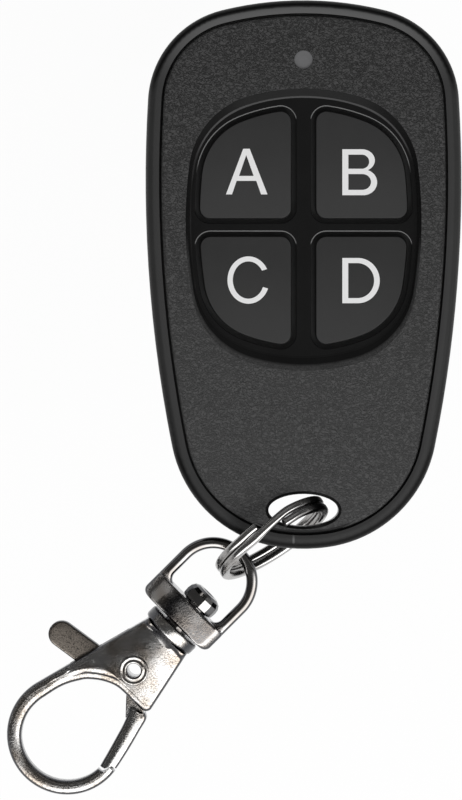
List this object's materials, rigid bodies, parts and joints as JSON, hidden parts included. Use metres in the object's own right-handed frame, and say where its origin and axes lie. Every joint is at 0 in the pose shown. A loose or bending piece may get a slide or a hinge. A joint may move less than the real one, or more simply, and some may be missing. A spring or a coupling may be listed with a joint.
{
  "type": "key fob remote control",
  "caption": "Egg-shaped remote key fob with lettered keys in a recess, an indicator, and a key-ring hole that carries a split ring and a swivel lobster clasp.",
  "frame": {"origin": "middle of the flat back face that the case rests on, on the case's long axis", "axes": "+Z out of the back face through the keys, +Y along the case towards the indicator light, +X to the right as the keys are read"},
  "size_m": [0.0541, 0.0945, 0.0149],
  "materials": {
    "case_plastic": "smooth moulded plastic",
    "cover_plastic": "fine leather-like texture, recess polished",
    "key_plastic": "flat matt key tops",
    "lens_plastic": "smoky grey light pipe",
    "screw_steel": "zinc-plated",
    "board_laminate": "solder-masked laminate",
    "copper": "tinned copper",
    "chip_plastic": "moulded epoxy",
    "ceramic": "ceramic with tinned ends",
    "resonator_metal": "plated can",
    "led_plastic": "clear moulding",
    "switch_plastic": "moulded nylon",
    "contact_steel": "nickel-plated spring steel",
    "cell_steel": "stainless can",
    "cell_mass": "pressed electrode stack",
    "gasket_plastic": "moulded seal",
    "dark_nickel": "polished dark nickel plate"
  },
  "bodies": {
    "case": {"rear_case": "case_plastic", "front_cover": "cover_plastic", "case_screws": "screw_steel", "led_lens": "lens_plastic", "circuit_board": "board_laminate", "antenna_trace": "copper", "encoder_chip": "chip_plastic", "saw_resonator": "resonator_metal", "rf_transistor": "chip_plastic", "chip_resistors": "chip_plastic", "chip_capacitors": "ceramic", "status_led": "led_plastic", "battery_can": "cell_steel", "battery_core": "cell_mass", "battery_gasket": "gasket_plastic", "battery_cap": "cell_steel", "battery_clip": "contact_steel", "battery_contact": "contact_steel", "switch_housing_a": "switch_plastic", "switch_cover_a": "contact_steel", "switch_dome_a": "contact_steel", "switch_housing_b": "switch_plastic", "switch_cover_b": "contact_steel", "switch_dome_b": "contact_steel", "switch_housing_c": "switch_plastic", "switch_cover_c": "contact_steel", "switch_dome_c": "contact_steel", "switch_housing_d": "switch_plastic", "switch_cover_d": "contact_steel", "switch_dome_d": "contact_steel"},
    "key_a": {"key_a": "key_plastic", "switch_plunger_a": "switch_plastic"},
    "key_b": {"key_b": "key_plastic", "switch_plunger_b": "switch_plastic"},
    "key_c": {"key_c": "key_plastic", "switch_plunger_c": "switch_plastic"},
    "key_d": {"key_d": "key_plastic", "switch_plunger_d": "switch_plastic"},
    "ring": {"split_ring": "dark_nickel"},
    "eye": {"swivel_eye": "dark_nickel"},
    "hook": {"hook_body": "dark_nickel", "swivel_rivet": "dark_nickel", "gate_rivet": "dark_nickel", "gate_spring": "contact_steel"},
    "gate": {"gate_lever": "dark_nickel"}
  },
  "joints": [
    {"name": "press_a", "type": "slide", "parent": "case", "child": "key_a", "axis": [0, 0, -1], "range_m": [0, 0.00035], "stiffness_N_per_m": 600, "springref_m": -0.002, "deforming": ["switch_dome_a"]},
    {"name": "press_b", "type": "slide", "parent": "case", "child": "key_b", "axis": [0, 0, -1], "range_m": [0, 0.00035], "stiffness_N_per_m": 600, "springref_m": -0.002, "deforming": ["switch_dome_b"]},
    {"name": "press_c", "type": "slide", "parent": "case", "child": "key_c", "axis": [0, 0, -1], "range_m": [0, 0.00035], "stiffness_N_per_m": 600, "springref_m": -0.002, "deforming": ["switch_dome_c"]},
    {"name": "press_d", "type": "slide", "parent": "case", "child": "key_d", "axis": [0, 0, -1], "range_m": [0, 0.00035], "stiffness_N_per_m": 600, "springref_m": -0.002, "deforming": ["switch_dome_d"]},
    {"name": "ring_swing", "type": "hinge", "parent": "case", "child": "ring", "pos_m": [0.0017, -0.0279, 0.0075], "axis": [0, 0, 1], "range_deg": [-8, 85]},
    {"name": "eye_tip", "type": "hinge", "parent": "ring", "child": "eye", "pos_m": [-0.00709, -0.03373, 0.00453], "axis": [-0.7071, 0.7071, 0], "range_deg": [-45, 45]},
    {"name": "clasp_swivel", "type": "hinge", "parent": "eye", "child": "hook", "pos_m": [-0.01583, -0.04247, 0.00358], "axis": [0.705, 0.705, 0.0767], "continuous": true},
    {"name": "gate_open", "type": "hinge", "parent": "hook", "child": "gate", "pos_m": [-0.02005, -0.04695, 0.00311], "axis": [0.0542, 0.0542, -0.9971], "range_deg": [0, 28], "stiffness_Nm_per_rad": 0.02, "springref_deg": -28.65}
  ]
}
